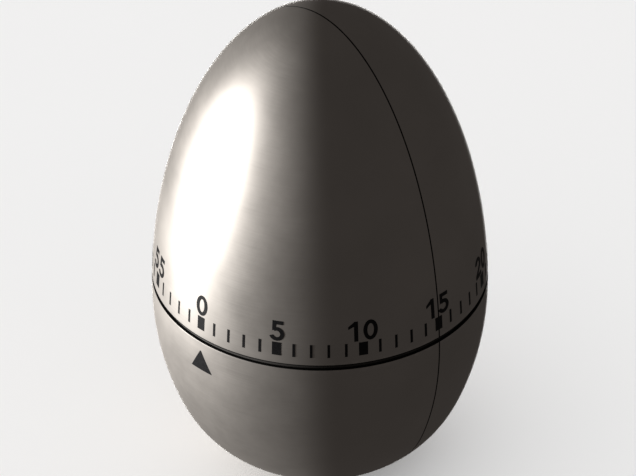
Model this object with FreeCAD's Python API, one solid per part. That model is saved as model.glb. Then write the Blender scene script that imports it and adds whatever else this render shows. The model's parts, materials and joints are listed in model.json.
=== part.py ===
import FreeCAD, Part

import math
import os

from FreeCAD import Vector

# An egg-shaped mechanical kitchen timer, in millimetres.
# The Z axis is the axis of the egg. The origin is the centre of the foot, on the surface it stands on.
# The pointer and the "0" of the scale are towards -Y, and the scale runs counter-clockwise from above.

# ---------------------------------------------------------------- driving dimensions

# The egg's outline: half an ellipse above the equator, and two tangent arcs and a flat foot below it.
EGG_RADIUS = 28.0
EQUATOR_Z = 31.5
CROWN_HEIGHT = 53.8
SIDE_ARC_RADIUS = 50.5
SIDE_ARC_TURN = 0.401
HEEL_ARC_RADIUS = 22.3
SHELL_FOOT_Z = 0.5
FOOT_PAD_R = 12.6
SKIN = 0.8

# The seam between the fixed lower shell and the turning upper shell.
SEAM_Z = 33.5
SEAM_GAP = 0.66
GLIDE_RING_R = (25.3, 27.5)
GLIDE_PLAY = 0.12
PARTING_LINE = (0.2, 0.1)

# The scale round the upper shell, and the pointer on the lower shell.
MINUTES = 60
NUMERAL_STEP = 5
MARK_FOOT_Z = SEAM_Z + SEAM_GAP / 2 + 1.75
THICK_MARK = (1.55, 2.5)
THIN_MARK = (0.45, 2.5)
NUMERAL_HEIGHT = 3.8
NUMERAL_FOOT_Z = MARK_FOOT_Z + THICK_MARK[1] + 0.28
STROKE = 0.68
DIGIT_SPACE = 0.45
MARK_PROUD = 0.04
MARK_DEPTH = 0.25
POINTER_APEX_Z = SEAM_Z - SEAM_GAP / 2 - 1.7
POINTER_HEIGHT = 4.15
POINTER_WIDTH = 4.65

# Heights of the movement's layers, from the gong up to the dial hub.
GONG_Z = (3.6, 7.9)
HAMMER_Z = (8.3, 8.9)
STRIKE_Z = (9.4, 10.2)
BOTTOM_PLATE_Z = (11.1, 12.1)
BARREL_Z = (12.7, 17.7)
CLICK_Z = (17.95, 18.55)
GREAT_WHEEL_Z = (18.7, 19.7)
SECOND_WHEEL_Z = (20.7, 21.3)
THIRD_WHEEL_Z = (22.5, 23.1)
ESCAPE_WHEEL_Z = (23.9, 24.5)
PALLET_LEVER_Z = (24.8, 25.4)
TOP_PLATE_Z = (26.9, 27.9)
STOP_DISC_Z = (28.6, 29.4)
HUB_SQUARE_Z = (29.6, 40.0)
HUB_DISC_Z = (34.8, 36.4)

# The wheels. Every arbor of the two trains stands on one circle round the main arbor.
ARBOR_CIRCLE = 15.3
BARREL_TEETH = 60
GREAT_TEETH = 60
GREAT_MODULE = 0.45
TRAIN_TEETH = 56
TRAIN_MODULE = 0.3
PINION_LEAVES = 8
ESCAPE_TEETH = 20
ESCAPE_RADIUS = 4.8
STRIKE_TEETH = 12
STRIKE_RADIUS = 3.6
RATCHET_TEETH = 14
RATCHET_RADIUS = 4.4
SECOND_ANGLE = 0.0
PALLET_ANGLE = 99.0
STRIKE_ANGLE = 215.0

# Tooth form: an involute with a long leaf on the pinion and a short tooth on the wheel.
PRESSURE_ANGLE = math.radians(20)
PROFILE_SHIFT = 0.5
WHEEL_TIP = 0.42
WHEEL_ROOT = 1.62
PINION_TIP = 1.32
PINION_ROOT = 0.75
BACKLASH = 0.10
RATCHET_TOOTH = 0.75

# Shafts, plates and fasteners.
RUNNING = 0.03
MAIN_ARBOR_R = 2.0
HUB_SQUARE = 3.0
TRAIN_ARBOR_R = 0.5
PIVOT_R = 0.3
PIVOT_SHOULDER = 0.4
BOTTOM_PLATE_R = 21.2
TOP_PLATE_R = 24.4
PILLAR_CIRCLE = 19.4
PILLAR_R = 1.4
PILLAR_ANGLES = (130, 247, 327)
COLUMN_CIRCLE = 22.4
COLUMN_R = 2.0
COLUMN_ANGLES = (61, 180, 300)
CUP_WALL = 1.1
CUP_GAP = 0.15
CUP_FLOOR_Z = 2.6
PILLAR_SCREW_R = 0.6
PILLAR_RIVET_R = 0.8
MOVEMENT_SCREW_R = 0.8
GONG_SCREW_R = 0.9

# The stop that ends the dial's turn: a pin on the top plate, and a finger on the main arbor.
STOP_CIRCLE = 12.0
STOP_PIN_R = 0.35
STOP_FINGER = 0.5
STOP_PLAY = 0.02

# Levers and their studs, as points in plan.
CLICK_PIVOT = (7.4, 45.0)
PALLET_REACH = 4.3
PALLET_SPREAD = 54.0
PALLET_PIN_R = 0.25
STUD_R = 0.7
RELEASE_STUD = (9.5, 170.0)
RELEASE_NOSE = (4.75, 120.0)
ALARM_CAM_R = 4.2
HAMMER_ARM_ANGLE = -17.3
HAMMER_REACH = 9.3
HAMMER_HEAD_R = 1.5
HAMMER_FROM_STRIKE = (6.4, -10.0)
GONG_RADIUS = 15.3
GONG_WALL = 0.6
GONG_CORNER = 3.0


# ---------------------------------------------------------------- small helpers

def polar(radius, degrees, z=0.0):
    """A point at a radius and an angle round the egg's axis."""
    angle = math.radians(degrees)
    return Vector(radius * math.cos(angle), radius * math.sin(angle), z)


def cylinder(radius, z, centre=Vector()):
    """A cylinder between the two heights in z, centred over a point."""
    return Part.makeCylinder(radius, z[1] - z[0], Vector(centre.x, centre.y, z[0]))


def tube(outer, inner, z, centre=Vector()):
    """A ring between the two heights in z."""
    return cylinder(outer, z, centre).cut(cylinder(inner, z, centre))


def box(size, centre, z, degrees=0.0):
    """A box of plan size (x, y) centred over a point, turned about its own upright axis."""
    shape = Part.makeBox(size[0], size[1], z[1] - z[0], Vector(-size[0] / 2, -size[1] / 2, z[0]))
    shape.rotate(Vector(), Vector(0, 0, 1), degrees)
    shape.translate(Vector(centre.x, centre.y, 0))
    return shape


def fused(shapes):
    """One solid made of shapes that touch or overlap."""
    return shapes[0].multiFuse(shapes[1:]).removeSplitter()


def group(shapes):
    """Separate solids kept together in one file."""
    return Part.makeCompound([solid for shape in shapes for solid in shape.Solids])


def line(start, end):
    """A straight edge."""
    return Part.LineSegment(start, end).toShape()


def arc(start, middle, end):
    """A circular edge through three points."""
    return Part.Arc(start, middle, end).toShape()


def closed_lines(points):
    """Straight edges round a closed list of points."""
    return [line(points[i - 1], points[i]) for i in range(len(points))]


def circle_wire(radius, centre=Vector()):
    """A round hole or rim, as a wire at height 0."""
    return Part.Wire(Part.Circle(Vector(centre.x, centre.y, 0), Vector(0, 0, 1), radius).toShape())


def slab(outline, z, holes=()):
    """A plate with the given outline wire and hole wires, between the two heights in z."""
    face = Part.makeFace([outline] + list(holes), "Part::FaceMakerBullseye")
    face.translate(Vector(0, 0, z[0]))
    return face.extrude(Vector(0, 0, z[1] - z[0]))


def arm(start, end, width, z):
    """A flat arm with rounded ends between two plan points."""
    along = end - start
    turn = math.degrees(math.atan2(along.y, along.x))
    bar = box((along.Length, width), (start + end) * 0.5, z, turn)
    return fused([bar, cylinder(width / 2, z, start), cylinder(width / 2, z, end)])


def screw(shank, length, head, head_height, seat, slot_turn):
    """A slotted screw whose head stands on the point seat and whose shank goes down from it."""
    body = cylinder(shank, (seat.z - length, seat.z), seat)
    cap = cylinder(head, (seat.z, seat.z + head_height), seat)
    slot_z = (seat.z + head_height / 2, seat.z + head_height * 2)
    slot = box((head * 3, head * 0.3), seat, slot_z, slot_turn)
    return fused([body, cap]).cut(slot)


# ---------------------------------------------------------------- the egg's outline

def side_point(inset, turn):
    """A point of the XZ plane on the lower side arc, moved inwards by inset."""
    radius = SIDE_ARC_RADIUS - inset
    centre = EGG_RADIUS - SIDE_ARC_RADIUS
    return Vector(centre + radius * math.cos(turn), 0, EQUATOR_Z - radius * math.sin(turn))


def heel_centre():
    """The centre of the heel arc, which is tangent to the side arc."""
    joint = side_point(0.0, SIDE_ARC_TURN)
    return joint - Vector(math.cos(SIDE_ARC_TURN), 0, -math.sin(SIDE_ARC_TURN)) * HEEL_ARC_RADIUS


def heel_point(inset, turn):
    """A point of the XZ plane on the heel arc, moved inwards by inset."""
    return heel_centre() + Vector(math.cos(turn), 0, -math.sin(turn)) * (HEEL_ARC_RADIUS - inset)


def crown_point(inset, z):
    """A point of the XZ plane on the upper half-ellipse, moved inwards by inset."""
    share = (z - EQUATOR_Z) / (CROWN_HEIGHT - inset)
    return Vector((EGG_RADIUS - inset) * math.sqrt(max(0.0, 1 - share * share)), 0, z)


def heel_edge(inset, low_z):
    """The outline from the height low_z to where the side arc begins, with its first point."""
    start = math.asin((heel_centre().z - low_z) / (HEEL_ARC_RADIUS - inset))
    middle = (start + SIDE_ARC_TURN) / 2
    first = heel_point(inset, start)
    return arc(first, heel_point(inset, middle), heel_point(inset, SIDE_ARC_TURN)), first


def side_edge(inset, low_turn, high_turn):
    """The outline along the side arc between two turns."""
    middle = (low_turn + high_turn) / 2
    return arc(side_point(inset, low_turn), side_point(inset, middle), side_point(inset, high_turn))


def side_turn(inset, z):
    """The turn at which the side arc passes the height z."""
    return math.asin((EQUATOR_Z - z) / (SIDE_ARC_RADIUS - inset))


def crown_edge(inset, low_z, high_z):
    """The outline along the ellipse between two heights."""
    major = CROWN_HEIGHT - inset
    centre = Vector(0, 0, EQUATOR_Z)
    ellipse = Part.Ellipse(centre + Vector(0, 0, major), centre + Vector(EGG_RADIUS - inset, 0, 0), centre)
    ends = [ellipse.parameter(crown_point(inset, z)) for z in (high_z, low_z)]
    if abs(ends[1] - ends[0]) > math.pi:
        ends[0] += 2 * math.pi if ends[0] < ends[1] else -2 * math.pi
    return ellipse.toShape(min(ends), max(ends))


def egg(inset, low_z, high_z):
    """The solid egg between two heights, its surface moved inwards by inset."""
    pole = EQUATOR_Z + CROWN_HEIGHT - inset
    joint_z = side_point(inset, SIDE_ARC_TURN).z
    top_z = min(high_z, pole)
    edges = []
    first = crown_point(inset, low_z) if low_z >= EQUATOR_Z else side_point(inset, 0.0)
    if low_z < joint_z:
        heel, first = heel_edge(inset, low_z)
        edges.append(heel)
    elif low_z < EQUATOR_Z:
        first = side_point(inset, side_turn(inset, low_z))
    last = crown_point(inset, top_z)
    if low_z < EQUATOR_Z:
        low_turn = min(SIDE_ARC_TURN, side_turn(inset, max(low_z, joint_z)))
        high_turn = side_turn(inset, min(top_z, EQUATOR_Z))
        edges.append(side_edge(inset, low_turn, high_turn))
        last = side_point(inset, high_turn)
    if top_z > EQUATOR_Z:
        edges.append(crown_edge(inset, max(low_z, EQUATOR_Z), top_z))
        last = crown_point(inset, top_z)
    foot = Vector(0, 0, low_z)
    top = Vector(0, 0, top_z)
    edges.append(line(foot, first))
    edges.append(line(top, foot))
    if top_z < pole:
        edges.append(line(last, top))
    face = Part.Face(Part.Wire(Part.__sortEdges__(edges)))
    return face.revolve(Vector(), Vector(0, 0, 1), 360)


def skin_band(low_z, high_z):
    """The thin layer at the egg's surface that the marks are made from."""
    return egg(-MARK_PROUD, low_z, high_z).cut(egg(MARK_DEPTH, low_z - 1, high_z + 1))


# ---------------------------------------------------------------- the scale and the pointer

def stand_on_egg(drawing, degrees):
    """Stand a flat drawing on the egg: x runs round the scale and y up, centred at an angle from the "0"."""
    depth = 6.0
    solid = drawing.extrude(Vector(0, 0, depth))
    solid.rotate(Vector(), Vector(1, 0, 0), 90)
    solid.translate(Vector(0, depth / 2 - EGG_RADIUS, 0))
    solid.rotate(Vector(), Vector(0, 0, 1), degrees)
    return solid


def flat(points):
    """A flat drawing with straight sides."""
    return Part.Face(Part.Wire(closed_lines([Vector(x, y, 0) for x, y in points])))


def bar_stroke(x, y, width, height):
    """An upright or level stroke of a digit, from its lower left corner."""
    return flat([(x, y), (x + width, y), (x + width, y + height), (x, y + height)])


def bowl_stroke(x, y, radius, start, end):
    """A round stroke of a digit, between two angles in degrees."""
    centre = Vector(x, y, 0)
    angles = (start, (start + end) / 2, end)
    outer = [centre + polar(radius, angle) for angle in angles]
    inner = [centre + polar(radius - STROKE, angle) for angle in reversed(angles)]
    edges = [arc(*outer), line(outer[2], inner[0]), arc(*inner), line(inner[2], outer[0])]
    return Part.Face(Part.Wire(edges))


def oval_wire(centre, half_width, half_height):
    """An upright oval."""
    ellipse = Part.Ellipse(centre + Vector(0, half_height, 0), centre + Vector(half_width, 0, 0), centre)
    return Part.Wire(ellipse.toShape())


def digit_zero():
    half_width = 1.25
    centre = Vector(half_width, NUMERAL_HEIGHT / 2, 0)
    outer = oval_wire(centre, half_width, NUMERAL_HEIGHT / 2)
    inner = oval_wire(centre, half_width - STROKE, NUMERAL_HEIGHT / 2 - STROKE)
    return [Part.makeFace([outer, inner], "Part::FaceMakerBullseye")], 2 * half_width


def digit_one():
    stem_x = 0.98
    side_room = 0.45
    flag = flat([
        (0, NUMERAL_HEIGHT - 1.4),
        (stem_x + 0.1, NUMERAL_HEIGHT - 0.85),
        (stem_x + STROKE - 0.1, NUMERAL_HEIGHT),
        (stem_x + 0.12, NUMERAL_HEIGHT),
        (0, NUMERAL_HEIGHT - 0.9),
    ])
    return [bar_stroke(stem_x, 0, STROKE, NUMERAL_HEIGHT), flag], stem_x + STROKE + side_room


def digit_two():
    width = 2.5
    radius = width / 2
    bowl_y = NUMERAL_HEIGHT - radius
    bowl_end = -36
    outer_end = Vector(radius, bowl_y, 0) + polar(radius, bowl_end)
    inner_end = Vector(radius, bowl_y, 0) + polar(radius - STROKE, bowl_end)
    slant = flat([
        (0, 0.1),
        (0.85, STROKE),
        (outer_end.x, outer_end.y),
        (inner_end.x, inner_end.y),
        (0, STROKE),
    ])
    return [bowl_stroke(radius, bowl_y, radius, bowl_end, 172), slant, bar_stroke(0, 0, width, STROKE)], width


def digit_three():
    width = 2.45
    lower_radius = 1.24
    upper_radius = (NUMERAL_HEIGHT - 2 * lower_radius + STROKE) / 2
    upper_y = NUMERAL_HEIGHT - upper_radius
    middle = width - lower_radius
    upper = bowl_stroke(middle, upper_y, upper_radius, -90, 160)
    lower = bowl_stroke(middle, lower_radius, lower_radius, -165, 90)
    return [upper, lower], width


def digit_four():
    width = 2.75
    stem_x = 1.7
    bar_y = 0.95
    stem_top = NUMERAL_HEIGHT
    slant = flat([
        (0, bar_y + 0.1),
        (0.72, bar_y + 0.1),
        (stem_x + 0.1, stem_top - 0.8),
        (stem_x + 0.1, stem_top),
        (stem_x - 0.1, stem_top),
        (0, bar_y + STROKE),
    ])
    return [bar_stroke(stem_x, 0, STROKE, stem_top), bar_stroke(0, bar_y, width, STROKE), slant], width


def digit_five():
    width = 2.55
    radius = 1.3
    bowl_end = 125
    centre = Vector(width - radius, radius, 0)
    left = 0.5
    bowl_tip = centre + polar(radius - STROKE / 2, bowl_end)
    back = flat([
        (bowl_tip.x - 0.22, bowl_tip.y - 0.2),
        (bowl_tip.x + 0.3, bowl_tip.y),
        (left + STROKE, NUMERAL_HEIGHT - 0.1),
        (left, NUMERAL_HEIGHT - 0.1),
    ])
    top = bar_stroke(left, NUMERAL_HEIGHT - STROKE, width - left - 0.2, STROKE)
    return [bowl_stroke(centre.x, centre.y, radius, -160, bowl_end), back, top], width


DIGITS = {"0": digit_zero, "1": digit_one, "2": digit_two, "3": digit_three, "4": digit_four, "5": digit_five}


def numeral(text, degrees):
    """One number of the scale, cut out of the surface layer of the egg."""
    drawn = [DIGITS[digit]() for digit in text]
    total = sum(width for _, width in drawn) + DIGIT_SPACE * (len(text) - 1)
    x = -total / 2
    prisms = []
    for strokes, width in drawn:
        for stroke in strokes:
            stroke.translate(Vector(x, NUMERAL_FOOT_Z, 0))
        prisms.append(fused([stand_on_egg(stroke, degrees) for stroke in strokes]))
        x += width + DIGIT_SPACE
    return prisms


def scale_band():
    """The surface layer of the upper shell that carries the scale."""
    return skin_band(MARK_FOOT_Z - 1, NUMERAL_FOOT_Z + NUMERAL_HEIGHT + 1)


def make_numerals():
    band = scale_band()
    prisms = []
    for minute in range(0, MINUTES, NUMERAL_STEP):
        prisms.extend(numeral(str(minute), minute * 360 / MINUTES))
    return group([prism.common(band) for prism in prisms])


def make_mark(size, minute, band):
    """One upright mark of the scale."""
    drawing = bar_stroke(-size[0] / 2, MARK_FOOT_Z, size[0], size[1])
    return stand_on_egg(drawing, minute * 360 / MINUTES).common(band)


def make_five_minute_marks():
    band = scale_band()
    return group([make_mark(THICK_MARK, minute, band) for minute in range(0, MINUTES, NUMERAL_STEP)])


def make_minute_marks():
    band = scale_band()
    minutes = [minute for minute in range(MINUTES) if minute % NUMERAL_STEP]
    return group([make_mark(THIN_MARK, minute, band) for minute in minutes])


def make_pointer():
    foot_z = POINTER_APEX_Z - POINTER_HEIGHT
    drawing = flat([(-POINTER_WIDTH / 2, foot_z), (POINTER_WIDTH / 2, foot_z), (0, POINTER_APEX_Z)])
    return stand_on_egg(drawing, 0).common(skin_band(foot_z - 1, EQUATOR_Z - 0.2))


# ---------------------------------------------------------------- casing

def parting_groove(low_z, high_z):
    """A hair-fine groove round the egg in the XZ plane, where the halves of each shell's mould met."""
    width, depth = PARTING_LINE
    layer = egg(-1.0, low_z - 0.5, high_z + 2).cut(egg(depth, low_z - 1, high_z))
    return layer.common(Part.makeBox(120, width, 120, Vector(-60, -width / 2, -10)))


def make_upper_shell(marks):
    low_z = SEAM_Z + SEAM_GAP / 2
    pole_z = EQUATOR_Z + CROWN_HEIGHT
    shell = egg(0.0, low_z, pole_z).cut(egg(SKIN, low_z - 1, pole_z))
    shell = shell.cut(parting_groove(low_z, pole_z))
    return shell.cut(marks)


def make_lower_shell(marks):
    high_z = SEAM_Z - SEAM_GAP / 2
    shell = egg(0.0, SHELL_FOOT_Z, high_z).cut(egg(SKIN, SHELL_FOOT_Z + SKIN, high_z + 1))
    shell = shell.cut(parting_groove(SHELL_FOOT_Z, high_z))
    return shell.cut(marks)


def make_movement_cup():
    """The plastic cup inside the lower shell: gong boss in the middle, screw columns at the wall."""
    high_z = SEAM_Z - SEAM_GAP / 2
    outside = SKIN + CUP_GAP
    whole = egg(outside, SHELL_FOOT_Z + outside, high_z)
    cup = whole.cut(egg(outside + CUP_WALL, CUP_FLOOR_Z, high_z + 1))
    column_z = (BOTTOM_PLATE_Z[1] + 0.5, TOP_PLATE_Z[0])
    columns = [cylinder(COLUMN_R, column_z, place).common(whole) for place in column_places()]
    boss = cylinder(3.0, (CUP_FLOOR_Z - 0.2, GONG_Z[0]))
    cup = fused([cup, boss] + columns)
    for place in column_places():
        cup = cup.cut(cylinder(MOVEMENT_SCREW_R, (TOP_PLATE_Z[0] - 7, TOP_PLATE_Z[0] + 1), place))
    return cup.cut(cylinder(GONG_SCREW_R, (SHELL_FOOT_Z + outside + 0.4, GONG_Z[0] + 1)))


def make_glide_ring():
    rest_z = SEAM_Z - SEAM_GAP / 2
    return tube(GLIDE_RING_R[1], GLIDE_RING_R[0], (rest_z, rest_z + SEAM_GAP - GLIDE_PLAY))


def make_foot_pad():
    return cylinder(FOOT_PAD_R, (0, SHELL_FOOT_Z))


def make_dial_hub():
    """The plastic spider inside the upper shell: a square socket for the arbor, ribs, and a rim."""
    disc = egg(SKIN + CUP_GAP, HUB_DISC_Z[0], HUB_DISC_Z[1])
    through = (HUB_DISC_Z[0] - 1, HUB_DISC_Z[1] + 1)
    windows = [slab(window, through) for window in spoke_windows(6, 24.2, 6.2, 3.0)]
    rim = egg(SKIN + CUP_GAP, HUB_DISC_Z[0], HUB_DISC_Z[1] + 4)
    rim = rim.cut(cylinder(24.6, (HUB_DISC_Z[0] - 1, HUB_DISC_Z[1] + 5)))
    boss = cylinder(4.6, (HUB_SQUARE_Z[0] + 0.4, HUB_SQUARE_Z[1] + 1.2))
    hub = fused([disc.cut(group(windows)), rim, boss])
    side = HUB_SQUARE + 0.04
    return hub.cut(box((side, side), Vector(), (HUB_SQUARE_Z[0] - 1, HUB_SQUARE_Z[1] + 0.1)))


# ---------------------------------------------------------------- toothed wheels

def involute(angle):
    return math.tan(angle) - angle


def tooth_half_angle(radius, teeth, module, shift):
    """Half the angle that a tooth fills at a radius, in degrees."""
    reference = module * teeth / 2
    base = reference * math.cos(PRESSURE_ANGLE)
    here = math.acos(min(1.0, base / radius))
    thickness = module * (math.pi / 2 + 2 * shift * math.tan(PRESSURE_ANGLE) - BACKLASH)
    half = thickness / (2 * reference) + involute(PRESSURE_ANGLE) - involute(here)
    return math.degrees(half)


def gear_wire(teeth, module, shift, tip, root, phase):
    """The outline of a gear with one tooth centred on the angle phase, its tip and root in modules."""
    reference = module * teeth / 2
    tip_r = reference + tip * module
    root_r = reference - root * module
    start_r = max(root_r, reference * math.cos(PRESSURE_ANGLE))
    radii = (start_r, (start_r + tip_r) / 2, tip_r)
    halves = [tooth_half_angle(radius, teeth, module, shift) for radius in radii]
    pitch = 360 / teeth
    edges = []
    for tooth in range(teeth):
        centre = phase + tooth * pitch
        rise = [polar(radius, centre - half) for radius, half in zip(radii, halves)]
        fall = [polar(radius, centre + half) for radius, half in zip(radii, halves)]
        foot_in = polar(root_r, centre - halves[0])
        foot_out = polar(root_r, centre + halves[0])
        next_foot = polar(root_r, centre + pitch - halves[0])
        if start_r > root_r:
            edges.append(line(foot_in, rise[0]))
        edges.append(arc(*rise))
        edges.append(arc(rise[2], polar(tip_r, centre), fall[2]))
        edges.append(arc(*reversed(fall)))
        if start_r > root_r:
            edges.append(line(fall[0], foot_out))
        edges.append(arc(foot_out, polar(root_r, centre + pitch / 2), next_foot))
    return Part.Wire(edges)


def wheel_wire(teeth, module, phase):
    return gear_wire(teeth, module, -PROFILE_SHIFT, WHEEL_TIP, WHEEL_ROOT, phase)


def pinion_wire(module, phase):
    return gear_wire(PINION_LEAVES, module, PROFILE_SHIFT, PINION_TIP, PINION_ROOT, phase)


def spoke_windows(count, outer, inner, spoke):
    """The openings between the spokes of a wheel."""
    wires = []
    outer_half = math.degrees(math.asin(spoke / 2 / outer))
    inner_half = math.degrees(math.asin(spoke / 2 / inner))
    pitch = 360 / count
    for index in range(count):
        start = index * pitch
        middle = start + pitch / 2
        outer_ends = polar(outer, start + outer_half), polar(outer, start + pitch - outer_half)
        inner_ends = polar(inner, start + inner_half), polar(inner, start + pitch - inner_half)
        wires.append(Part.Wire([
            arc(outer_ends[0], polar(outer, middle), outer_ends[1]),
            line(outer_ends[1], inner_ends[1]),
            arc(inner_ends[1], polar(inner, middle), inner_ends[0]),
            line(inner_ends[0], outer_ends[0]),
        ]))
    return wires


def meshing_distance(teeth, module):
    """The distance between a wheel's centre and its pinion's."""
    return module * (teeth + PINION_LEAVES) / 2


def heading(start, end):
    """The plan angle from one point to another, in degrees."""
    return math.degrees(math.atan2(end.y - start.y, end.x - start.x))


def next_arbor_angle(angle):
    """The angle of the next arbor of the going train, round the arbor circle."""
    chord = meshing_distance(TRAIN_TEETH, TRAIN_MODULE)
    return angle + 2 * math.degrees(math.asin(chord / 2 / ARBOR_CIRCLE))


SECOND = polar(ARBOR_CIRCLE, SECOND_ANGLE)
THIRD = polar(ARBOR_CIRCLE, next_arbor_angle(SECOND_ANGLE))
ESCAPE = polar(ARBOR_CIRCLE, next_arbor_angle(next_arbor_angle(SECOND_ANGLE)))
PALLET = polar(ARBOR_CIRCLE, PALLET_ANGLE)
STRIKE = polar(ARBOR_CIRCLE, STRIKE_ANGLE)
HAMMER = STRIKE + polar(*HAMMER_FROM_STRIKE)


def gap_phase(teeth, direction):
    """The phase that puts a gap between two teeth in the given direction."""
    return direction + 180 / teeth


def train_arbor(place, module, mesh_from, pinion_z, lower_z, upper_z):
    """An arbor with its pinion cut on it, a leaf pointing at the wheel that drives it."""
    phase = heading(place, mesh_from)
    pinion = slab(pinion_wire(module, phase), pinion_z)
    pinion.translate(place)
    shaft = cylinder(TRAIN_ARBOR_R, (lower_z + PIVOT_SHOULDER, upper_z - PIVOT_SHOULDER), place)
    pivot = cylinder(PIVOT_R, (lower_z - 1.2, upper_z + 1.2), place)
    return fused([shaft, pinion, pivot])


def train_wheel(place, drives, z):
    """A spoked wheel of the going train, pressed on its arbor, a gap facing the pinion that it drives."""
    outline = wheel_wire(TRAIN_TEETH, TRAIN_MODULE, gap_phase(TRAIN_TEETH, heading(place, drives)))
    rim = TRAIN_MODULE * TRAIN_TEETH / 2 - WHEEL_ROOT * TRAIN_MODULE - 0.9
    holes = [circle_wire(TRAIN_ARBOR_R)] + spoke_windows(4, rim, 1.7, 0.9)
    wheel = slab(outline, z, holes)
    wheel.translate(place)
    return wheel


def saw_wire(teeth, tip_r, root_r, front, top, back, phase):
    """A saw-toothed outline: shares of the pitch give the tooth's front foot, its top and its back foot."""
    pitch = 360 / teeth
    points = []
    for tooth in range(teeth):
        angle = phase + tooth * pitch
        points.append(polar(tip_r, angle))
        points.append(polar(tip_r, angle + top * pitch))
        points.append(polar(root_r, angle + (top + front) * pitch))
        points.append(polar(root_r, angle + (1 - back) * pitch))
    return Part.Wire(closed_lines(points))


# ---------------------------------------------------------------- winding and power

def main_arbor_z():
    return STRIKE_Z[0] - 0.2, HUB_SQUARE_Z[0]


def make_main_arbor():
    shaft = cylinder(MAIN_ARBOR_R, main_arbor_z())
    collar = cylinder(3.0, (TOP_PLATE_Z[0] - 1.2, TOP_PLATE_Z[0] - 0.15))
    square = box((HUB_SQUARE, HUB_SQUARE), Vector(), (STOP_DISC_Z[1], HUB_SQUARE_Z[1]))
    return fused([shaft, collar, square])


def make_arbor_clip():
    """A spring clip in a groove of the arbor, just above the top plate."""
    clip_z = (TOP_PLATE_Z[1] + 0.12, TOP_PLATE_Z[1] + 0.52)
    ring = tube(3.3, MAIN_ARBOR_R, clip_z)
    mouth = box((4.0, 2.2), polar(3.5, 20), (clip_z[0] - 1, clip_z[1] + 1), 20)
    return ring.cut(mouth)


def make_stop_disc():
    """The disc under the dial hub whose finger meets the stop pin at both ends of the scale."""
    disc = tube(5.0, MAIN_ARBOR_R, STOP_DISC_Z)
    tip = polar(STOP_CIRCLE + STOP_PIN_R, -90)
    finger = box((STOP_FINGER, tip.Length - 4), polar((tip.Length + 4) / 2, -90), STOP_DISC_Z)
    root = box((2.2, 4.5), polar(5.6, -90), STOP_DISC_Z)
    return fused([disc, finger, root]).cut(cylinder(MAIN_ARBOR_R, STOP_DISC_Z))


def stop_pin_angle():
    """The angle of the stop pin: the finger rests against it when the dial is at 0."""
    reach = STOP_FINGER / 2 + STOP_PIN_R + STOP_PLAY
    return -90 + math.degrees(math.asin(reach / STOP_CIRCLE))


def make_stop_pin():
    pin_z = (TOP_PLATE_Z[0] + 0.2, STOP_DISC_Z[1] + 0.4)
    return cylinder(STOP_PIN_R, pin_z, polar(STOP_CIRCLE, stop_pin_angle()))


def make_ratchet_wheel():
    """A saw-toothed wheel: upright fronts for the click to catch, long sloping backs for it to ride up."""
    outline = saw_wire(RATCHET_TEETH, RATCHET_RADIUS, RATCHET_RADIUS - RATCHET_TOOTH, 0.0, 0.04, 0.90, -1.2)
    return slab(outline, CLICK_Z, [circle_wire(MAIN_ARBOR_R)])


def click_pivot():
    return polar(*CLICK_PIVOT)


def make_click():
    """The pawl under the great wheel whose nose stands behind a tooth of the ratchet wheel."""
    pivot = click_pivot()
    tip_r = RATCHET_RADIUS - 0.5
    nose = [
        polar(tip_r, 1.5),
        polar(RATCHET_RADIUS + 0.9, 1.5),
        polar(RATCHET_RADIUS + 0.35, 14),
        polar(tip_r + 0.12, 8),
    ]
    beak = slab(Part.Wire(closed_lines(nose)), CLICK_Z)
    bar = arm(pivot, polar(RATCHET_RADIUS + 0.85, 10), 0.9, CLICK_Z)
    eye = cylinder(1.15, CLICK_Z, pivot)
    clearance = cylinder(RATCHET_RADIUS + 0.08, (CLICK_Z[0] - 1, CLICK_Z[1] + 1))
    body = fused([bar.cut(clearance), eye, beak])
    return body.cut(cylinder(0.6 + RUNNING, (CLICK_Z[0] - 1, CLICK_Z[1] + 1), pivot))


def make_click_rivet():
    """The rivet that holds the click to the great wheel."""
    pivot = click_pivot()
    shank = cylinder(0.6, (CLICK_Z[0] - 0.12, GREAT_WHEEL_Z[1]), pivot)
    top = cylinder(1.0, (GREAT_WHEEL_Z[1], GREAT_WHEEL_Z[1] + 0.35), pivot)
    head = cylinder(0.95, (CLICK_Z[0] - 0.12, CLICK_Z[0] - 0.02), pivot)
    return fused([shank, top, head])


def click_spring_post():
    return polar(9.6, 8)


def make_click_spring():
    """A leaf spring from a post on the great wheel to the back of the click."""
    post = cylinder(0.55, (CLICK_Z[0], GREAT_WHEEL_Z[1]), click_spring_post())
    touch = (click_pivot() + polar(RATCHET_RADIUS + 0.85, 10)) * 0.5 + polar(0.62, -13)
    blade = arm(click_spring_post(), touch, 0.16, (CLICK_Z[0] + 0.1, CLICK_Z[1] - 0.1))
    return fused([post, blade])


def make_great_wheel():
    phase = gap_phase(GREAT_TEETH, SECOND_ANGLE)
    outline = wheel_wire(GREAT_TEETH, GREAT_MODULE, phase)
    holes = [circle_wire(MAIN_ARBOR_R + RUNNING), circle_wire(0.6, click_pivot())]
    holes.append(circle_wire(0.55, click_spring_post()))
    windows = spoke_windows(5, 11.4, 4.2, 3.4)
    solid = slab(outline, GREAT_WHEEL_Z, holes)
    openings = [slab(wire, (GREAT_WHEEL_Z[0] - 1, GREAT_WHEEL_Z[1] + 1)) for wire in windows]
    turned = group(openings[1:])
    return solid.cut(turned)


def barrel_floor_z():
    return BARREL_Z[0], BARREL_Z[0] + 0.8


def make_spring_barrel():
    """The drum that holds the mainspring, with the teeth that drive the striking train on its floor."""
    phase = gap_phase(BARREL_TEETH, STRIKE_ANGLE)
    floor = slab(wheel_wire(BARREL_TEETH, GREAT_MODULE, phase), barrel_floor_z())
    wall = tube(11.0, 10.4, (BARREL_Z[0], BARREL_Z[1]))
    drum = fused([floor, wall])
    return drum.cut(cylinder(MAIN_ARBOR_R + RUNNING, (BARREL_Z[0] - 1, BARREL_Z[1] + 1)))


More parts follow.
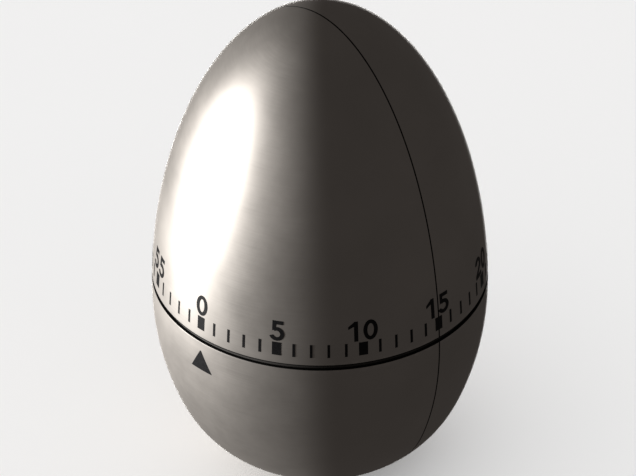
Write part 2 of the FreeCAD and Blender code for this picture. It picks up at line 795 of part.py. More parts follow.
def make_barrel_cover():
    cover_z = (BARREL_Z[1] - 0.6, BARREL_Z[1] - 0.1)
    return tube(10.4, MAIN_ARBOR_R + RUNNING, cover_z)


def make_mainspring():
    """A coiled steel strip, drawn as half-circles whose radius grows by half the pitch each time."""
    thickness = 0.25
    pitch = 0.85
    half_turns = 17
    start_r = 2.75
    z = (barrel_floor_z()[1] + 0.15, BARREL_Z[1] - 0.75)
    inner_edges = []
    outer_edges = []
    centre_x = 0.0
    for index in range(half_turns):
        side = 1 if index % 2 == 0 else -1
        radius = start_r + index * pitch / 2
        centre = Vector(centre_x, 0, 0)
        for edges, grow in ((inner_edges, -thickness / 2), (outer_edges, thickness / 2)):
            reach = radius + grow
            edges.append(arc(centre + Vector(side * reach, 0, 0), centre + Vector(0, side * reach, 0),
                             centre - Vector(side * reach, 0, 0)))
        centre_x += side * pitch / 2
    first_r = start_r
    last_side = 1 if (half_turns - 1) % 2 == 0 else -1
    last_r = start_r + (half_turns - 1) * pitch / 2
    last_centre = centre_x - last_side * pitch / 2
    inner_end = Vector(last_centre - last_side * (last_r - thickness / 2), 0, 0)
    outer_end = Vector(last_centre - last_side * (last_r + thickness / 2), 0, 0)
    start_cap = line(Vector(first_r - thickness / 2, 0, 0), Vector(first_r + thickness / 2, 0, 0))
    edges = inner_edges + outer_edges + [line(inner_end, outer_end), start_cap]
    return slab(Part.Wire(Part.__sortEdges__(edges)), z)


# ---------------------------------------------------------------- going train and regulator

def make_second_arbor():
    pinion_z = (GREAT_WHEEL_Z[0] - 0.3, GREAT_WHEEL_Z[1] + 0.3)
    return train_arbor(SECOND, GREAT_MODULE, Vector(), pinion_z, BOTTOM_PLATE_Z[1], TOP_PLATE_Z[0])


def make_second_wheel():
    return train_wheel(SECOND, THIRD, SECOND_WHEEL_Z)


def make_third_arbor():
    pinion_z = (SECOND_WHEEL_Z[0] - 0.3, SECOND_WHEEL_Z[1] + 0.3)
    return train_arbor(THIRD, TRAIN_MODULE, SECOND, pinion_z, BOTTOM_PLATE_Z[1], TOP_PLATE_Z[0])


def make_third_wheel():
    return train_wheel(THIRD, ESCAPE, THIRD_WHEEL_Z)


def make_escape_arbor():
    pinion_z = (THIRD_WHEEL_Z[0] - 0.3, THIRD_WHEEL_Z[1] + 0.3)
    return train_arbor(ESCAPE, TRAIN_MODULE, THIRD, pinion_z, BOTTOM_PLATE_Z[1], TOP_PLATE_Z[0])


def make_escape_wheel():
    outline = saw_wire(ESCAPE_TEETH, ESCAPE_RADIUS, ESCAPE_RADIUS - 1.0, 0.10, 0.06, 0.30, 0.0)
    holes = [circle_wire(TRAIN_ARBOR_R)] + spoke_windows(4, ESCAPE_RADIUS - 1.8, 1.3, 0.7)
    wheel = slab(outline, ESCAPE_WHEEL_Z, holes)
    wheel.translate(ESCAPE)
    return wheel


def pallet_pin_places():
    """The two pallet pins, either side of the line from the pallet arbor to the escape wheel."""
    towards = heading(PALLET, ESCAPE)
    return [PALLET + polar(PALLET_REACH, towards + side * PALLET_SPREAD) for side in (-1, 1)]


def make_pallet_arbor():
    shaft_z = (PALLET_LEVER_Z[0] - 3.0, TOP_PLATE_Z[0] - PIVOT_SHOULDER)
    shaft = cylinder(TRAIN_ARBOR_R, shaft_z, PALLET)
    pivot = cylinder(PIVOT_R, (BOTTOM_PLATE_Z[0] - 0.2, TOP_PLATE_Z[1] + 0.2), PALLET)
    return fused([shaft, pivot])


def make_pallet_lever():
    """The lever that the escape wheel rocks: two pallet arms, and a bar with two weights that slows it."""
    arms = [arm(PALLET, place, 0.8, PALLET_LEVER_Z) for place in pallet_pin_places()]
    across = heading(PALLET, ESCAPE) + 90
    weights = []
    for side in (-1, 1):
        end = PALLET + polar(3.6 * side, across)
        weights.append(arm(PALLET, end, 0.7, (PALLET_LEVER_Z[1] - 0.01, PALLET_LEVER_Z[1] + 0.6)))
        weights.append(cylinder(0.9, (PALLET_LEVER_Z[1] - 0.01, PALLET_LEVER_Z[1] + 0.9), end))
    eye = cylinder(1.1, PALLET_LEVER_Z, PALLET)
    whole = fused(arms + weights + [eye])
    return whole.cut(cylinder(TRAIN_ARBOR_R, (PALLET_LEVER_Z[0] - 1, PALLET_LEVER_Z[1] + 2), PALLET))


def make_pallet_pins():
    pin_z = (ESCAPE_WHEEL_Z[0] - 0.3, PALLET_LEVER_Z[0])
    return group([cylinder(PALLET_PIN_R, pin_z, place) for place in pallet_pin_places()])


# ---------------------------------------------------------------- striking

def make_strike_arbor():
    pinion_z = (BARREL_Z[0] - 0.2, BARREL_Z[0] + 1.0)
    phase = heading(STRIKE, Vector())
    pinion = slab(pinion_wire(GREAT_MODULE, phase), pinion_z)
    pinion.translate(STRIKE)
    lower = cylinder(TRAIN_ARBOR_R, (STRIKE_Z[0] - 0.2, pinion_z[1]), STRIKE)
    upper = cylinder(TRAIN_ARBOR_R, (pinion_z[1], TOP_PLATE_Z[0] - PIVOT_SHOULDER), STRIKE)
    pivot = cylinder(PIVOT_R, (TOP_PLATE_Z[0] - 1, TOP_PLATE_Z[1] + 0.2), STRIKE)
    return fused([lower, pinion, upper, pivot])


def make_strike_wheel():
    outline = saw_wire(STRIKE_TEETH, STRIKE_RADIUS, STRIKE_RADIUS - 0.9, 0.28, 0.08, 0.28, 0.0)
    wheel = slab(outline, STRIKE_Z, [circle_wire(TRAIN_ARBOR_R)])
    wheel.translate(STRIKE)
    return wheel


def make_alarm_cam():
    """The disc low on the main arbor whose notch lets the release lever drop when the dial reaches 0."""
    disc = tube(ALARM_CAM_R, MAIN_ARBOR_R, STRIKE_Z)
    notch = cylinder(0.9, (STRIKE_Z[0] - 1, STRIKE_Z[1] + 1), polar(ALARM_CAM_R, RELEASE_NOSE[1]))
    return disc.cut(notch)


def stud(place, low_z):
    """A headed stud riveted in the bottom plate, hanging below it."""
    shank = cylinder(STUD_R, (low_z, BOTTOM_PLATE_Z[1]), place)
    shoulder = cylinder(STUD_R + 0.5, (STRIKE_Z[1] + 0.15, BOTTOM_PLATE_Z[0]), place)
    return fused([shank, shoulder])


def release_stud_place():
    return polar(*RELEASE_STUD)


def make_release_stud():
    place = release_stud_place()
    head = cylinder(STUD_R + 0.5, (STRIKE_Z[0] - 0.55, STRIKE_Z[0] - 0.1), place)
    return fused([stud(place, STRIKE_Z[0] - 0.5), head])


def make_release_lever():
    """The bent lever between the alarm cam and the strike wheel."""
    pivot = release_stud_place()
    nose = polar(*RELEASE_NOSE)
    tail = STRIKE + polar(STRIKE_RADIUS + 1.55, 163)
    shape = fused([
        arm(pivot, nose, 0.9, STRIKE_Z),
        arm(pivot, tail, 0.9, STRIKE_Z),
        cylinder(1.5, STRIKE_Z, pivot),
    ])
    return shape.cut(cylinder(STUD_R + RUNNING, (STRIKE_Z[0] - 1, STRIKE_Z[1] + 1), pivot))


def make_hammer_stud():
    return stud(HAMMER, HAMMER_Z[0] - 0.8)


def hammer_head_place():
    return HAMMER + polar(HAMMER_REACH, HAMMER_ARM_ANGLE)


def make_hammer_arm():
    """The hammer's arm, with a hub on the stud and two fingers either side of the strike wheel."""
    towards = heading(HAMMER, STRIKE)
    fingers = []
    for side in (-1, 1):
        end = HAMMER + polar(5.6, towards + side * 48)
        fingers.append(arm(HAMMER, end, 0.8, HAMMER_Z))
        fingers.append(cylinder(0.35, (HAMMER_Z[0], STRIKE_Z[1]), end))
    hub = cylinder(1.4, (HAMMER_Z[0], STRIKE_Z[1]), HAMMER)
    whole = fused([arm(HAMMER, hammer_head_place(), 1.1, HAMMER_Z), hub] + fingers)
    return whole.cut(cylinder(STUD_R + RUNNING, (HAMMER_Z[0] - 1, STRIKE_Z[1] + 1), HAMMER))


def make_hammer_head():
    head_z = (5.9, HAMMER_Z[0])
    return cylinder(HAMMER_HEAD_R, head_z, hammer_head_place())


def make_hammer_clip():
    clip_z = (HAMMER_Z[0] - 0.5, HAMMER_Z[0] - 0.1)
    return tube(STUD_R + 0.75, STUD_R, clip_z, HAMMER)


def make_gong():
    """The bell: a shallow steel cup, its mouth up round the hammer."""
    low_z, high_z = GONG_Z

    def cup_solid(inset, bottom_z, top_z):
        corner = GONG_CORNER - inset
        flat_r = GONG_RADIUS - GONG_CORNER
        centre = Vector(flat_r, 0, low_z + GONG_CORNER)
        foot = Vector(flat_r, 0, bottom_z)
        side = centre + Vector(corner, 0, 0)
        middle = centre + Vector(corner * math.sqrt(0.5), 0, -corner * math.sqrt(0.5))
        rim = Vector(side.x, 0, top_z)
        edges = [
            line(Vector(0, 0, bottom_z), foot),
            arc(foot, middle, side),
            line(side, rim),
            line(rim, Vector(0, 0, top_z)),
            line(Vector(0, 0, top_z), Vector(0, 0, bottom_z)),
        ]
        return Part.Face(Part.Wire(edges)).revolve(Vector(), Vector(0, 0, 1), 360)

    shell = cup_solid(0.0, low_z, high_z).cut(cup_solid(GONG_WALL, low_z + GONG_WALL, high_z + 1))
    return shell.cut(cylinder(GONG_SCREW_R + 0.1, (low_z - 1, low_z + 2)))


def make_gong_screw():
    seat = Vector(0, 0, GONG_Z[0] + GONG_WALL)
    return screw(GONG_SCREW_R, 2.0, 2.2, 1.2, seat, 30)


# ---------------------------------------------------------------- plates and fasteners

def pivot_holes(places):
    return [circle_wire(PIVOT_R + RUNNING, place) for place in places]


def pillar_places():
    return [polar(PILLAR_CIRCLE, angle) for angle in PILLAR_ANGLES]


def column_places():
    return [polar(COLUMN_CIRCLE, angle) for angle in COLUMN_ANGLES]


def make_bottom_plate():
    holes = pivot_holes([SECOND, THIRD, ESCAPE, PALLET])
    holes.append(circle_wire(TRAIN_ARBOR_R + RUNNING, STRIKE))
    holes.append(circle_wire(MAIN_ARBOR_R + RUNNING))
    holes += [circle_wire(PILLAR_RIVET_R, place) for place in pillar_places()]
    holes += [circle_wire(STUD_R, place) for place in (HAMMER, release_stud_place())]
    return slab(circle_wire(BOTTOM_PLATE_R), BOTTOM_PLATE_Z, holes)


def make_top_plate():
    holes = pivot_holes([SECOND, THIRD, ESCAPE, PALLET, STRIKE])
    holes.append(circle_wire(MAIN_ARBOR_R + RUNNING))
    holes += [circle_wire(PILLAR_SCREW_R + 0.1, place) for place in pillar_places()]
    holes += [circle_wire(MOVEMENT_SCREW_R + 0.1, place) for place in column_places()]
    plate = slab(circle_wire(TOP_PLATE_R), TOP_PLATE_Z, holes)
    return plate.cut(make_stop_pin())


def make_pillars():
    """The spacers between the plates, with a riveted end below and a tapped end above."""
    pillars = []
    for place in pillar_places():
        body = cylinder(PILLAR_R, (BOTTOM_PLATE_Z[1], TOP_PLATE_Z[0]), place)
        rivet = cylinder(PILLAR_RIVET_R, (BOTTOM_PLATE_Z[0] - 0.3, BOTTOM_PLATE_Z[1]), place)
        tapped = cylinder(PILLAR_SCREW_R, (TOP_PLATE_Z[0] - 4, TOP_PLATE_Z[0] + 1), place)
        pillars.append(fused([body, rivet]).cut(tapped))
    return group(pillars)


def make_pillar_screws():
    """The screws that hold the top plate on the pillars, their slots left at odd angles."""
    screws = []
    for index, place in enumerate(pillar_places()):
        seat = place + Vector(0, 0, TOP_PLATE_Z[1])
        screws.append(screw(PILLAR_SCREW_R, 4.0, 1.5, 0.9, seat, 25 + 50 * index))
    return group(screws)


def make_movement_screws():
    """The screws that hold the movement down on the columns of its cup."""
    screws = []
    for index, place in enumerate(column_places()):
        seat = place + Vector(0, 0, TOP_PLATE_Z[1])
        screws.append(screw(MOVEMENT_SCREW_R, 6.5, 1.7, 1.0, seat, 70 + 40 * index))
    return group(screws)


# ---------------------------------------------------------------- everything

def build():
    """Every piece by name."""
    numerals = make_numerals()
    five_minute_marks = make_five_minute_marks()
    minute_marks = make_minute_marks()
    pointer = make_pointer()
    return {
        "upper_shell": make_upper_shell(group([numerals, five_minute_marks, minute_marks])),
        "lower_shell": make_lower_shell(pointer),
        "numerals": numerals,
        "five_minute_marks": five_minute_marks,
        "minute_marks": minute_marks,
        "pointer": pointer,
        "glide_ring": make_glide_ring(),
        "foot_pad": make_foot_pad(),
        "movement_cup": make_movement_cup(),
        "dial_hub": make_dial_hub(),
        "main_arbor": make_main_arbor(),
        "arbor_clip": make_arbor_clip(),
        "stop_disc": make_stop_disc(),
        "stop_pin": make_stop_pin(),
        "ratchet_wheel": make_ratchet_wheel(),
        "click": make_click(),
        "click_rivet": make_click_rivet(),
        "click_spring": make_click_spring(),
        "great_wheel": make_great_wheel(),
        "spring_barrel": make_spring_barrel(),
        "barrel_cover": make_barrel_cover(),
        "mainspring": make_mainspring(),
        "second_arbor": make_second_arbor(),
        "second_wheel": make_second_wheel(),
        "third_arbor": make_third_arbor(),
        "third_wheel": make_third_wheel(),
        "escape_arbor": make_escape_arbor(),
        "escape_wheel": make_escape_wheel(),
        "pallet_arbor": make_pallet_arbor(),
        "pallet_lever": make_pallet_lever(),
        "pallet_pins": make_pallet_pins(),
        "strike_arbor": make_strike_arbor(),
        "strike_wheel": make_strike_wheel(),
        "alarm_cam": make_alarm_cam(),
        "release_stud": make_release_stud(),
        "release_lever": make_release_lever(),
        "hammer_stud": make_hammer_stud(),
        "hammer_arm": make_hammer_arm(),
        "hammer_head": make_hammer_head(),
        "hammer_clip": make_hammer_clip(),
        "gong": make_gong(),
        "gong_screw": make_gong_screw(),
        "bottom_plate": make_bottom_plate(),
        "top_plate": make_top_plate(),
        "pillars": make_pillars(),
        "pillar_screws": make_pillar_screws(),
        "movement_screws": make_movement_screws(),
    }


os.makedirs("parts", exist_ok=True)
for name, shape in build().items():
    shape.exportStep("parts/" + name + ".step")
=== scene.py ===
import json
import math

import bmesh
import bpy
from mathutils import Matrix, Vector


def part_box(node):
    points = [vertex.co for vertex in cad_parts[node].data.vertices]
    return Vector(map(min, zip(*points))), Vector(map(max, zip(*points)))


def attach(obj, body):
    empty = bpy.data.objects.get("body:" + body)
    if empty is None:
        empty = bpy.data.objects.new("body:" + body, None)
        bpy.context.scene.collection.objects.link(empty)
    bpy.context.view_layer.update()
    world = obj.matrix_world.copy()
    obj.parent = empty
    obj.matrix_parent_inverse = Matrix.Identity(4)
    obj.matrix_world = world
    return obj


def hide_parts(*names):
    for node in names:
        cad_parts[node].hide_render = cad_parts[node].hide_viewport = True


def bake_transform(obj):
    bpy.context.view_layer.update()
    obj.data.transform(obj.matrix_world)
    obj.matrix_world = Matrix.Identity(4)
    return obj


# The looks of an egg-shaped mechanical kitchen timer, in metres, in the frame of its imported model.
# The timer stands on z = 0. Its pointer faces -Y, and the 15 of its scale faces +X.

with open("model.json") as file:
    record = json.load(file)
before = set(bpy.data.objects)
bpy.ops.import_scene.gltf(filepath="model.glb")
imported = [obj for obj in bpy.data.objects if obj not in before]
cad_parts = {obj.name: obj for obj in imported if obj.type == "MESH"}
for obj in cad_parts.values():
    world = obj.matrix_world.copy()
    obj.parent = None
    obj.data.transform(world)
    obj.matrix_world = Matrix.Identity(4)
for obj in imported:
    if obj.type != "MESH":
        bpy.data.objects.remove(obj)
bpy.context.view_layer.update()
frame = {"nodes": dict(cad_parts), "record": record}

MM = 0.001

# ---------------------------------------------------------------- the egg's outline, from the frame

# Below the equator the outline is two tangent arcs; above it, half an ellipse up to the crown.
SIDE_ARC_RADIUS = 50.5 * MM
SIDE_ARC_TURN = 0.401
HEEL_ARC_RADIUS = 22.3 * MM

# The wall, the easing of a rim's edges, the height of the band at each rim that is painted near-black
# as shade, and the parting groove.
SKIN = 0.8 * MM
RIM_ROUND = 0.12 * MM
RIM_SHADE_BAND = 0.26 * MM
PARTING_WIDTH = 0.28 * MM
PARTING_DEPTH = 0.10 * MM
FOOT_EDGE = 0.2 * MM

# How finely the shells are turned: round the axis, up each wall, and over each eased edge.
AROUND = 288
UPPER_STEPS, UPPER_INNER_STEPS = 150, 60
LOWER_STEPS, LOWER_INNER_STEPS = 90, 40
LIP_STEPS = 6
EASE_STEPS = 3
CRISP_ANGLE = math.radians(25)

# Distances that count as none.
NEAR = 1e-7
ON_AXIS = 1e-6
CUT_TOLERANCE = 1e-8
WELD = 1e-6

UPPER_LOW, UPPER_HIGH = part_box("upper_shell")
LOWER_LOW, LOWER_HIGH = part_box("lower_shell")
EGG_RADIUS = LOWER_HIGH.x


def widest_height():
    """The height at which the lower shell is widest: the egg's equator."""
    corners = [vertex.co for vertex in frame["nodes"]["lower_shell"].data.vertices]
    return max(corner.z for corner in corners if corner.x > EGG_RADIUS - NEAR)


EQUATOR = widest_height()
CROWN_HEIGHT = UPPER_HIGH.z - EQUATOR


def side_point(inset, turn):
    """A point (r, z) of the side arc, moved inwards by inset."""
    radius = SIDE_ARC_RADIUS - inset
    return EGG_RADIUS - SIDE_ARC_RADIUS + radius * math.cos(turn), EQUATOR - radius * math.sin(turn)


def heel_point(inset, turn):
    """A point (r, z) of the heel arc, moved inwards by inset."""
    joint_r, joint_z = side_point(0.0, SIDE_ARC_TURN)
    centre_r = joint_r - HEEL_ARC_RADIUS * math.cos(SIDE_ARC_TURN)
    centre_z = joint_z + HEEL_ARC_RADIUS * math.sin(SIDE_ARC_TURN)
    radius = HEEL_ARC_RADIUS - inset
    return centre_r + radius * math.cos(turn), centre_z - radius * math.sin(turn)


def heel_turn(inset, z):
    """The turn at which the heel arc passes a height."""
    centre_z = heel_point(0.0, 0.0)[1]
    return math.asin((centre_z - z) / (HEEL_ARC_RADIUS - inset))


def crown_point(inset, turn):
    """A point (r, z) of the ellipse, from the equator at turn 0 to the pole at a quarter turn."""
    return (EGG_RADIUS - inset) * math.cos(turn), EQUATOR + (CROWN_HEIGHT - inset) * math.sin(turn)


def crown_turn(inset, z):
    """The turn at which the ellipse passes a height."""
    return math.asin((z - EQUATOR) / (CROWN_HEIGHT - inset))


def steps(start, end, count):
    """Evenly spaced values, both ends included."""
    return [start + (end - start) * index / count for index in range(count + 1)]


def upper_wall(inset, low_z, count):
    """The upper outline from a height to the pole."""
    return [crown_point(inset, turn) for turn in steps(crown_turn(inset, low_z), math.pi / 2, count)]


def lower_wall(inset, low_z, high_z, count):
    """The lower outline from a height up to another one just above the equator."""
    heel_turns = steps(heel_turn(inset, low_z), SIDE_ARC_TURN, count // 2)
    heel = [heel_point(inset, turn) for turn in heel_turns]
    side = [side_point(inset, turn) for turn in steps(SIDE_ARC_TURN, 0.0, count)]
    crown = [crown_point(inset, turn) for turn in steps(0.0, crown_turn(inset, high_z), LIP_STEPS)]
    return heel + side[1:] + crown[1:]


# ---------------------------------------------------------------- turned shells

def turned_mesh(profile, rim):
    """A body of revolution from (r, z) points that run up the outer wall; rim is the span of rings
    whose faces are painted near-black as shade.
    """
    mesh = bmesh.new()
    rings = []
    for radius, z in profile:
        if radius < ON_AXIS:
            rings.append([mesh.verts.new((0, 0, z))] * AROUND)
            continue
        ring = []
        for index in range(AROUND):
            angle = 2 * math.pi * index / AROUND
            ring.append(mesh.verts.new((radius * math.cos(angle), radius * math.sin(angle), z)))
        rings.append(ring)
    for place in range(len(rings) - 1):
        low, high = rings[place], rings[place + 1]
        for index in range(AROUND):
            after = (index + 1) % AROUND
            corners = dict.fromkeys((low[index], low[after], high[after], high[index]))
            face = mesh.faces.new(list(corners))
            face.smooth = True
            # Faces of the rim span take the second material: near-black painted shade for the seam gap.
            face.material_index = 1 if rim[0] <= place < rim[1] else 0
    bmesh.ops.recalc_face_normals(mesh, faces=mesh.faces)
    return mesh


def cut(mesh, place, normal):
    """Adds edges to a mesh where a plane passes through it."""
    geometry = mesh.verts[:] + mesh.edges[:] + mesh.faces[:]
    bmesh.ops.bisect_plane(mesh, geom=geometry, dist=CUT_TOLERANCE, plane_co=place, plane_no=normal)


def cut_parting_groove(mesh, low_z, high_z):
    """Sinks a narrow strip of the outer wall, along the XZ plane, between two heights, and gives the
    faces round it near-black painted shade.
    """
    for share in (-0.5, -0.3, 0.3, 0.5):
        cut(mesh, Vector((0, share * PARTING_WIDTH, 0)), Vector((0, 1, 0)))
    mesh.normal_update()
    centre = Vector((0, 0, EQUATOR))
    floor = set()
    for vertex in mesh.verts:
        outside = vertex.normal.dot(vertex.co - centre) > 0
        if outside and abs(vertex.co.y) < 0.4 * PARTING_WIDTH and low_z < vertex.co.z < high_z:
            floor.add(vertex)
    inwards = {vertex: vertex.normal * -PARTING_DEPTH for vertex in floor}
    for vertex, step in inwards.items():
        vertex.co += step
    # The groove's faces take the second material, near-black painted shade.
    for face in mesh.faces:
        if any(vertex in floor for vertex in face.verts):
            face.material_index = 1


def finished_piece(mesh, name):
    """An object from a mesh, with its corners kept crisp."""
    mesh.normal_update()
    for edge in mesh.edges:
        if edge.calc_face_angle(0.0) > CRISP_ANGLE:
            edge.smooth = False
    data = bpy.data.meshes.new(name)
    mesh.to_mesh(data)
    mesh.free()
    piece = bpy.data.objects.new(name, data)
    bpy.context.scene.collection.objects.link(piece)
    return piece


def rounded_rim(outer, inner, up):
    """The eased points of a shell's rim, from its outer corner to its inner one; up is 1 or -1."""
    points = []
    for corner, side in ((outer, -1), (inner, 1)):
        quarter = steps(0.0, math.pi / 2, EASE_STEPS)
        if side == 1:
            quarter.reverse()
        for turn in quarter:
            shift = RIM_ROUND * (1 - math.cos(turn))
            drop = RIM_ROUND * (1 - math.sin(turn))
            points.append((corner[0] + side * shift, corner[1] - up * drop))
    return points


def make_upper_shell(metal, line):
    """The turning dial shell: inner wall down from the pole, eased rim, outer wall back up."""
    rim_z = UPPER_LOW.z
    edge = crown_point(0.0, crown_turn(0.0, rim_z + RIM_ROUND))
    outer = upper_wall(0.0, rim_z + RIM_SHADE_BAND, UPPER_STEPS)
    inner = upper_wall(SKIN, rim_z + RIM_ROUND, UPPER_INNER_STEPS)
    rim = rounded_rim((edge[0], rim_z), (inner[0][0], rim_z), -1)
    profile = list(reversed(inner))[:-1] + list(reversed(rim)) + outer
    start = len(inner) - 1
    mesh = turned_mesh(profile, (start, start + len(rim)))
    cut_parting_groove(mesh, rim_z + RIM_SHADE_BAND, UPPER_HIGH.z + MM)
    dress_shell(finished_piece(mesh, "upper_shell_skin"), metal, line, "upper_shell", "dial")


def make_lower_shell(metal, line):
    """The fixed lower shell: flat foot, outer wall up to the seam, eased rim, inner wall and floor."""
    foot_z = LOWER_LOW.z
    rim_z = LOWER_HIGH.z
    outer = lower_wall(0.0, foot_z, rim_z - RIM_ROUND, LOWER_STEPS)
    inner = lower_wall(SKIN, foot_z + SKIN, rim_z - RIM_ROUND, LOWER_INNER_STEPS)
    rim = rounded_rim((outer[-1][0], rim_z), (inner[-1][0], rim_z), 1)[1:]
    profile = [(0.0, foot_z)] + outer + rim + list(reversed(inner))[1:] + [(0.0, foot_z + SKIN)]
    start = len(outer)
    mesh = turned_mesh(profile, (start, start + len(rim)))
    cut_parting_groove(mesh, foot_z + FOOT_EDGE, rim_z - RIM_ROUND)
    dress_shell(finished_piece(mesh, "lower_shell_skin"), metal, line, "lower_shell", "base")


def dress_shell(shell, metal, line, node, body):
    """Gives a shell its materials and its place in the frame."""
    shell.data.materials.append(metal)
    # The second material, line, is near-black painted shade for the rim bands and the parting groove.
    shell.data.materials.append(line)
    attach(shell, body)
    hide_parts(node)


# ---------------------------------------------------------------- click spring

def make_click_spring(steel):
    """The leaf spring behind the click, its blade cut across into short lengths by added edges."""
    mesh = bmesh.new()
    mesh.from_mesh(frame["nodes"]["click_spring"].data)
    bmesh.ops.remove_doubles(mesh, verts=mesh.verts, dist=WELD)
    top_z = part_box("click_spring")[1].z
    post_rim = [vertex.co for vertex in mesh.verts if vertex.co.z > top_z - 0.1 * MM]
    post = sum(post_rim, Vector()) / len(post_rim)
    tip = max((vertex.co for vertex in mesh.verts), key=lambda place: (place - post).xy.length)
    blade = Vector((tip.x - post.x, tip.y - post.y, 0))
    for share in steps(0.2, 0.95, 14):
        cut(mesh, post + blade * share, blade)
    spring = finished_piece(mesh, "click_spring_leaf")
    spring.data.materials.clear()
    spring.data.materials.append(steel)
    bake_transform(spring)
    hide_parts("click_spring")


# ---------------------------------------------------------------- node helpers

class Surface:
    """A material with its node tree, and short ways to add nodes to it."""

    def __init__(self, name):
        self.material = bpy.data.materials.new(name)
        self.material.use_nodes = True
        self.nodes = self.material.node_tree.nodes
        self.links = self.material.node_tree.links
        self.shader = self.nodes["Principled BSDF"]
        self.place = self.nodes.new("ShaderNodeTexCoord").outputs["Object"]

    def set(self, **values):
        """Sets the shader's own sockets; an underscore in a name stands for a space."""
        for name, value in values.items():
            self.shader.inputs[name.replace("_", " ")].default_value = value

    def math(self, operation, first, second=0.0):
        """A calculation with two numbers or sockets."""
        node = self.nodes.new("ShaderNodeMath")
        node.operation = operation
        for socket, value in zip(node.inputs, (first, second)):
            if isinstance(value, (int, float)):
                socket.default_value = value
            else:
                self.links.new(value, socket)
        return node.outputs[0]

    def noise(self, scale, detail=3.0, vector=None, rough=0.5):
        """Fractal noise, its scale in features per metre."""
        node = self.nodes.new("ShaderNodeTexNoise")
        node.inputs["Scale"].default_value = scale
        node.inputs["Detail"].default_value = detail
        node.inputs["Roughness"].default_value = rough
        self.links.new(vector or self.place, node.inputs["Vector"])
        return node.outputs["Fac"]

    def stretched(self, x, y, z):
        """The object's coordinates, each multiplied."""
        node = self.nodes.new("ShaderNodeVectorMath")
        node.operation = "MULTIPLY"
        node.inputs[1].default_value = (x, y, z)
        self.links.new(self.place, node.inputs[0])
        return node.outputs[0]

    def round_the_axis(self, around, along):
        """Coordinates that run slowly round the Z axis and fast up it, for marks left by turning."""
        flat = self.stretched(1, 1, 0)
        unit = self.nodes.new("ShaderNodeVectorMath")
        unit.operation = "NORMALIZE"
        self.links.new(flat, unit.inputs[0])
        wide = self.nodes.new("ShaderNodeVectorMath")
        wide.operation = "SCALE"
        wide.inputs["Scale"].default_value = around
        self.links.new(unit.outputs[0], wide.inputs[0])
        height = self.stretched(0, 0, along)
        total = self.nodes.new("ShaderNodeVectorMath")
        total.operation = "ADD"
        self.links.new(wide.outputs[0], total.inputs[0])
        self.links.new(height, total.inputs[1])
        return total.outputs[0]

    def spread(self, value, low, high, from_low=0.3, from_high=0.7):
        """A value mapped to a range, with both ends held."""
        node = self.nodes.new("ShaderNodeMapRange")
        node.inputs["From Min"].default_value = from_low
        node.inputs["From Max"].default_value = from_high
        node.inputs["To Min"].default_value = low
        node.inputs["To Max"].default_value = high
        self.links.new(value, node.inputs["Value"])
        return node.outputs["Result"]

    def blend(self, share, first, second):
        """A colour between two colours or colour sockets."""
        node = self.nodes.new("ShaderNodeMix")
        node.data_type = "RGBA"
        self.links.new(share, node.inputs["Factor"])
        for socket, colour in ((node.inputs["A"], first), (node.inputs["B"], second)):
            if isinstance(colour, tuple):
                socket.default_value = (*colour, 1.0)
            else:
                self.links.new(colour, socket)
        return node.outputs["Result"]

    def height(self):
        """The height above the table, in metres."""
        node = self.nodes.new("ShaderNodeSeparateXYZ")
        self.links.new(self.place, node.inputs[0])
        return node.outputs["Z"]

    def colour(self, socket):
        """Drives the base colour."""
        self.links.new(socket, self.shader.inputs["Base Color"])

    def roughness(self, socket):
        """Drives the roughness."""
        self.links.new(socket, self.shader.inputs["Roughness"])

    def relief(self, *layers):
        """Bump from (height socket, depth in metres) layers, one after the other."""
        normal = None
        for socket, depth in layers:
            bump = self.nodes.new("ShaderNodeBump")
            bump.inputs["Distance"].default_value = depth
            self.links.new(socket, bump.inputs["Height"])
            if normal:
                self.links.new(normal, bump.inputs["Normal"])
            normal = bump.outputs["Normal"]
        self.links.new(normal, self.shader.inputs["Normal"])


# ---------------------------------------------------------------- materials

SEAM = (UPPER_LOW.z + LOWER_HIGH.z) / 2
SATIN = 0.475
OIL_STAIN = (0.1, 0.08, 0.06)
STAIN_SHARE = 0.25


def shell_metal():
    """Satin stainless steel, spun: faint rings, softly mottled, handled brighter along the seam."""
    surface = Surface("satin_shell_metal")
    tone = surface.spread(surface.noise(55, 4), 0.0, 1.0)
    base = surface.blend(tone, (0.50, 0.472, 0.442), (0.56, 0.528, 0.495))
    from_seam = surface.math("ABSOLUTE", surface.math("SUBTRACT", surface.height(), SEAM))
    worn = surface.spread(from_seam, 1.0, 0.0, 0.45 * MM, 1.3 * MM)
    patchy = surface.spread(surface.noise(700, 4), 0.0, 1.0, 0.45, 0.62)
    wear = surface.math("MULTIPLY", worn, patchy)
    surface.colour(surface.blend(wear, base, (0.60, 0.57, 0.535)))
    spun = surface.noise(1.0, 2.0, surface.round_the_axis(2.2, 9000))
    smear = surface.spread(surface.noise(80, 5, rough=0.62), -0.035, 0.045)
    fine = surface.spread(spun, -0.014, 0.014)
    rough = surface.math("ADD", surface.math("ADD", smear, fine), SATIN)
    surface.roughness(surface.math("SUBTRACT", rough, surface.math("MULTIPLY", wear, 0.06)))
    surface.set(Metallic=0.87, Specular_IOR_Level=0.5)
    surface.relief((spun, 0.5e-6), (surface.noise(260, 2), 2.5e-6))
    return surface.material


def seam_shade_paint():
    """Near-black painted shade for the bottom of the hair-fine parting line and for the shells' rim
    bands, standing in for their shadow.
    """
    surface = Surface("parting_line_shadow")
    # Near-black painted shade, standing in for the shadow in the groove and the seam gap.
    surface.colour(surface.blend(surface.noise(2500, 2), (0.003, 0.003, 0.003), (0.012, 0.011, 0.010)))
    surface.set(Roughness=0.8, Specular_IOR_Level=0.2)
    surface.relief((surface.noise(6000, 2), 4e-6))
    return surface.material


